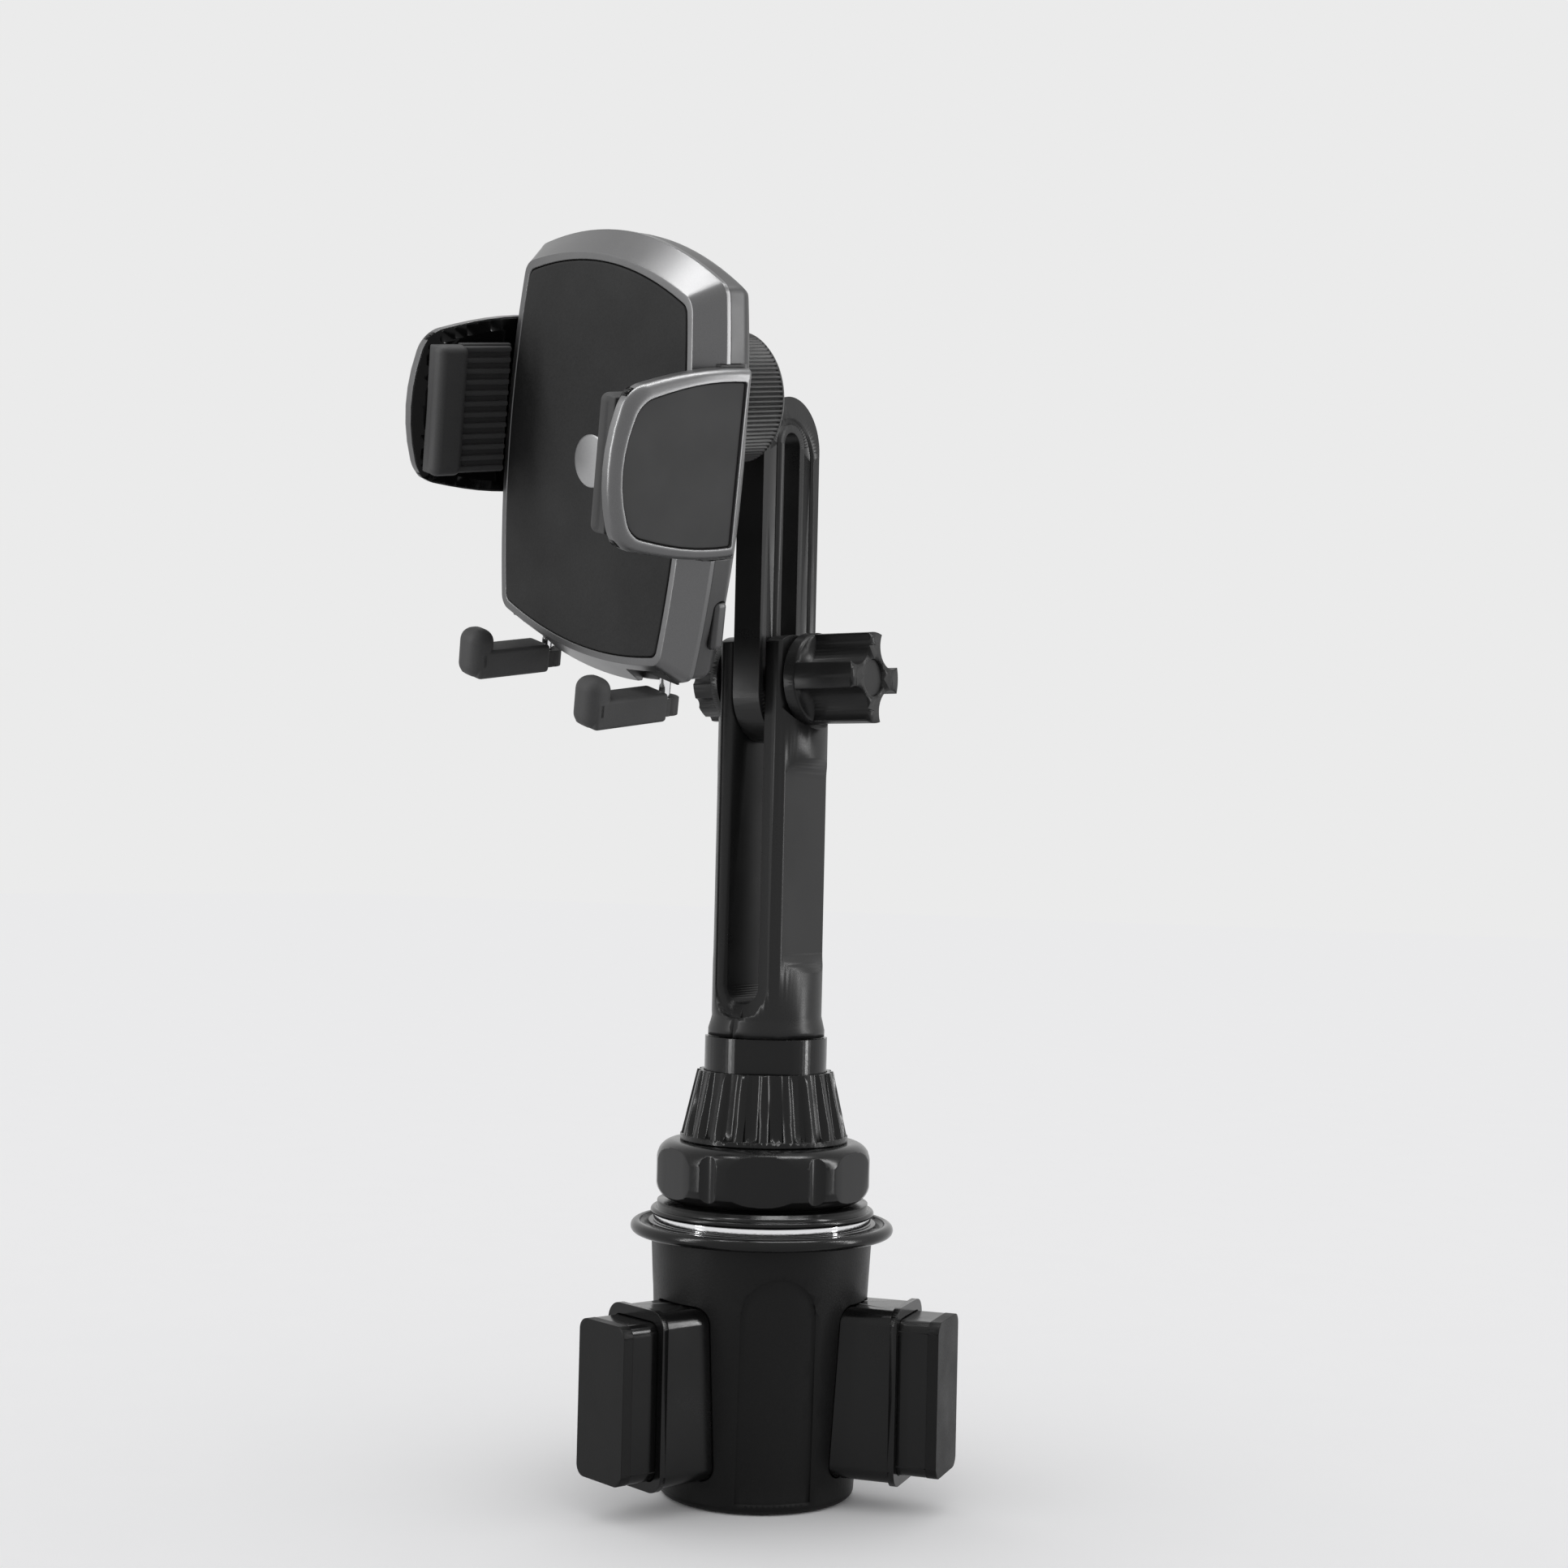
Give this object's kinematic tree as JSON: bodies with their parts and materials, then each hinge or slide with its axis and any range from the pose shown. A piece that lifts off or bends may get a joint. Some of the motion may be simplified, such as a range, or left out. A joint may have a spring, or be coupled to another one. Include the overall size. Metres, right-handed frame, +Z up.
{
  "type": "cup holder phone mount",
  "caption": "Phone cradle with spring arms and swivelling feet on a ball joint, slotted sliding arm and pole, over a twist-expanding cup-holder base with telescoping wings.",
  "frame": {"origin": "centre of the base's underside", "axes": "+Z up along the base and pole; the clamp bolt lies along X with the star knob towards +X; the phone faces -Y"},
  "size_m": [0.1214, 0.153, 0.3432],
  "materials": {
    "cup_plastic": "fine spark texture",
    "dark_gloss": "semi-gloss",
    "satin_plastic": "satin",
    "inner_plastic": "plain moulded",
    "chrome": "mirror",
    "steel": "zinc plated",
    "brass": "cut",
    "rubber_pad": "matte",
    "grip_rubber": "matte moulded",
    "face_rubber": "fine grain",
    "shell_silver": "satin gunmetal",
    "rear_grey": "satin",
    "arm_black": "gloss",
    "insert_grey": "fine matte",
    "badge_silver": "satin",
    "seat_nylon": "natural nylon"
  },
  "bodies": {
    "base": {"base_cup": "cup_plastic", "bottom_cover": "cup_plastic", "cover_screws": "steel", "core_post": "inner_plastic", "base_flange": "dark_gloss", "chrome_ring": "chrome", "top_plate": "dark_gloss", "collet": "seat_nylon"},
    "collar": {"twist_collar": "dark_gloss", "cam_disc": "inner_plastic"},
    "cone": {"cone_nut": "satin_plastic"},
    "neck": {"neck_tube": "satin_plastic"},
    "pole": {"lower_pole_left": "satin_plastic", "lower_pole_right": "satin_plastic", "pole_screws": "steel", "clamp_bolt": "steel", "scalloped_nut": "satin_plastic", "friction_washers": "satin_plastic"},
    "knob": {"knob": "satin_plastic", "knob_cap": "satin_plastic"},
    "bush": {"slot_bush": "seat_nylon"},
    "arm": {"upper_arm": "satin_plastic", "ball_stud": "satin_plastic"},
    "ball_pan": {"seat_inner": "seat_nylon"},
    "ball_tilt": {"seat_outer": "seat_nylon"},
    "cradle": {"rear_housing": "rear_grey", "front_shell": "shell_silver", "face_pad": "face_rubber", "badge": "badge_silver", "housing_screws": "steel", "pinion_spring": "steel", "button_spring": "steel"},
    "nut": {"ball_nut": "satin_plastic"},
    "pinion": {"pinion": "brass"},
    "button": {"release_button": "rear_grey", "lock_pawl": "inner_plastic"},
    "sleeve_1": {"wing_sleeve_1": "dark_gloss"},
    "slider_1": {"wing_slider_1": "dark_gloss", "wing_pad_1": "rubber_pad"},
    "sleeve_2": {"wing_sleeve_2": "dark_gloss"},
    "slider_2": {"wing_slider_2": "dark_gloss", "wing_pad_2": "rubber_pad"},
    "sleeve_3": {"wing_sleeve_3": "dark_gloss"},
    "slider_3": {"wing_slider_3": "dark_gloss", "wing_pad_3": "rubber_pad"},
    "arm_left": {"arm_plate_left": "arm_black", "arm_frame_left": "shell_silver", "arm_insert_left": "insert_grey", "grip_pad_left": "grip_rubber"},
    "pin_left": {"foot_pin_left": "chrome"},
    "foot_left": {"foot_core_left": "satin_plastic", "foot_sleeve_left": "grip_rubber"},
    "arm_right": {"arm_plate_right": "arm_black", "arm_frame_right": "shell_silver", "arm_insert_right": "insert_grey", "grip_pad_right": "grip_rubber"},
    "pin_right": {"foot_pin_right": "chrome"},
    "foot_right": {"foot_core_right": "satin_plastic", "foot_sleeve_right": "grip_rubber"}
  },
  "joints": [
    {"name": "collar_turn", "type": "hinge", "parent": "base", "child": "collar", "pos_m": [0, 0, 0.09], "axis": [0, 0, 1], "range_deg": [-110, 0]},
    {"name": "sleeve_1_slide", "type": "slide", "parent": "base", "child": "sleeve_1", "axis": [-0.2672, -0.9636, 0], "range_m": [-0.01152, 0]},
    {"name": "slider_1_slide", "type": "slide", "parent": "sleeve_1", "child": "slider_1", "axis": [-0.2672, -0.9636, 0], "range_m": [-0.01152, 0]},
    {"name": "sleeve_2_slide", "type": "slide", "parent": "base", "child": "sleeve_2", "axis": [0.9681, 0.2504, 0], "range_m": [-0.01152, 0]},
    {"name": "slider_2_slide", "type": "slide", "parent": "sleeve_2", "child": "slider_2", "axis": [0.9681, 0.2504, 0], "range_m": [-0.01152, 0]},
    {"name": "sleeve_3_slide", "type": "slide", "parent": "base", "child": "sleeve_3", "axis": [-0.7009, 0.7133, 0], "range_m": [-0.01152, 0]},
    {"name": "slider_3_slide", "type": "slide", "parent": "sleeve_3", "child": "slider_3", "axis": [-0.7009, 0.7133, 0], "range_m": [-0.01152, 0]},
    {"name": "cone_turn", "type": "hinge", "parent": "base", "child": "cone", "pos_m": [0, 0, 0.108], "axis": [0, 0, 1], "range_deg": [0, 180]},
    {"name": "neck_lift", "type": "slide", "parent": "base", "child": "neck", "axis": [0, 0, 1], "range_m": [0, 0.025]},
    {"name": "pole_swivel", "type": "hinge", "parent": "neck", "child": "pole", "pos_m": [0, 0, 0.1275], "axis": [0, 0, 1], "continuous": true},
    {"name": "knob_turn", "type": "hinge", "parent": "pole", "child": "knob", "pos_m": [0, 0, 0.2278], "axis": [1, 0, 0], "continuous": true},
    {"name": "arm_pivot", "type": "hinge", "parent": "pole", "child": "bush", "pos_m": [0, 0, 0.2278], "axis": [1, 0, 0], "range_deg": [-75, 25]},
    {"name": "arm_slide", "type": "slide", "parent": "bush", "child": "arm", "axis": [0, 0, 1], "range_m": [-0.065, 0.003]},
    {"name": "ball_pan", "type": "hinge", "parent": "arm", "child": "ball_pan", "pos_m": [0, -0.031, 0.303], "axis": [0, 0, 1], "range_deg": [-13, 38]},
    {"name": "ball_tilt", "type": "hinge", "parent": "ball_pan", "child": "ball_tilt", "pos_m": [0, -0.031, 0.303], "axis": [0.9698, -0.2439, 0], "range_deg": [-26, 6]},
    {"name": "ball_spin", "type": "hinge", "parent": "ball_tilt", "child": "cradle", "pos_m": [0, -0.031, 0.303], "axis": [0.2407, 0.9574, 0.1596], "continuous": true},
    {"name": "nut_turn", "type": "hinge", "parent": "cradle", "child": "nut", "pos_m": [0, -0.031, 0.303], "axis": [0.2407, 0.9574, 0.1596], "range_deg": [-180, 180]},
    {"name": "arm_right_slide", "type": "slide", "parent": "cradle", "child": "arm_right", "axis": [0.9383, -0.1875, -0.2907], "range_m": [0, 0.0125]},
    {"name": "arm_left_slide", "type": "slide", "parent": "cradle", "child": "arm_left", "axis": [-0.9383, 0.1875, 0.2907], "range_m": [0, 0.0125]},
    {"name": "pinion_spin", "type": "hinge", "parent": "cradle", "child": "pinion", "pos_m": [-0.00927, -0.05698, 0.28985], "axis": [0.2407, 0.9574, 0.1596], "range_deg": [0, 121]},
    {"name": "button_press", "type": "slide", "parent": "cradle", "child": "button", "axis": [-0.9383, 0.1875, 0.2907], "range_m": [0, 0.0016], "stiffness_N_per_m": 300, "springref_m": -0.001},
    {"name": "foot_left_drop", "type": "slide", "parent": "cradle", "child": "pin_left", "axis": [-0.2484, 0.2197, -0.9434], "range_m": [0, 0.008]},
    {"name": "foot_left_swivel", "type": "hinge", "parent": "pin_left", "child": "foot_left", "pos_m": [-0.05086, -0.03959, 0.23383], "axis": [0.2484, -0.2197, 0.9434], "range_deg": [-60, 15]},
    {"name": "foot_right_drop", "type": "slide", "parent": "cradle", "child": "pin_right", "axis": [-0.2484, 0.2197, -0.9434], "range_m": [0, 0.008]},
    {"name": "foot_right_swivel", "type": "hinge", "parent": "pin_right", "child": "foot_right", "pos_m": [-0.00207, -0.04933, 0.21872], "axis": [0.2484, -0.2197, 0.9434], "range_deg": [-15, 60]}
  ],
  "couplings": [
    {"joint": "sleeve_1_slide", "follows": "collar_turn", "m_per_rad": 0.00599},
    {"joint": "slider_1_slide", "follows": "collar_turn", "m_per_rad": 0.00599},
    {"joint": "sleeve_2_slide", "follows": "collar_turn", "m_per_rad": 0.00599},
    {"joint": "slider_2_slide", "follows": "collar_turn", "m_per_rad": 0.00599},
    {"joint": "sleeve_3_slide", "follows": "collar_turn", "m_per_rad": 0.00599},
    {"joint": "slider_3_slide", "follows": "collar_turn", "m_per_rad": 0.00599},
    {"joint": "arm_left_slide", "follows": "arm_right_slide", "ratio": 1},
    {"joint": "pinion_spin", "follows": "arm_right_slide", "rad_per_m": 166.67}
  ]
}
